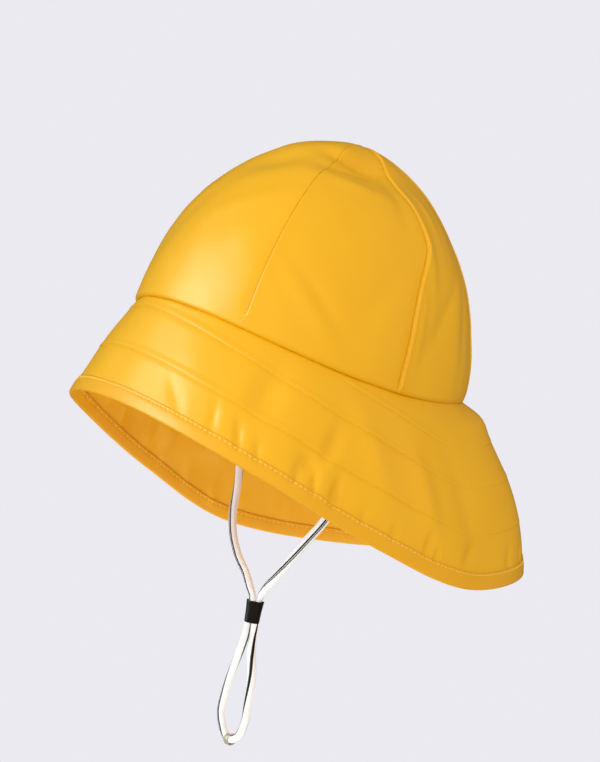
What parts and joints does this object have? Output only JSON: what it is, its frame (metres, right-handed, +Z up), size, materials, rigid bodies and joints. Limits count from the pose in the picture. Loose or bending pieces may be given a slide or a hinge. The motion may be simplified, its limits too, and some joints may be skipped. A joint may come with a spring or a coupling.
{
  "type": "sou'wester rain hat",
  "caption": "Coated-cloth rain hat: a domed crown of sewn gores, a turned-down brim with pressed ribs and a long back, a bound hem, and a chin cord with toggle.",
  "frame": {"origin": "middle of the head opening, level with the crown seam, where the hat sits on a head", "axes": "+Z up as worn, the front of the hat faces -Y, the wearer's left is +X, the long back of the brim is +Y"},
  "size_m": [0.2475, 0.29, 0.359],
  "materials": {
    "coated_cloth": "satin polyurethane coating on knitted cloth, yellow",
    "binding_tape": "satin coated tape, yellow, stitched",
    "braided_cord": "white braided elastic with a black tracer",
    "toggle_plastic": "black moulded plastic",
    "ring_metal": "grey crimped metal"
  },
  "bodies": {
    "root": {"crown_panel_front": "coated_cloth", "crown_panel_front_left": "coated_cloth", "crown_panel_back_left": "coated_cloth", "crown_panel_back": "coated_cloth", "crown_panel_back_right": "coated_cloth", "crown_panel_front_right": "coated_cloth", "brim": "coated_cloth", "brim_binding": "binding_tape", "chin_cord": "braided_cord", "cord_toggle": "toggle_plastic", "cord_ring": "ring_metal", "cord_tab_left": "binding_tape", "cord_tab_right": "binding_tape"}
  },
  "joints": []
}
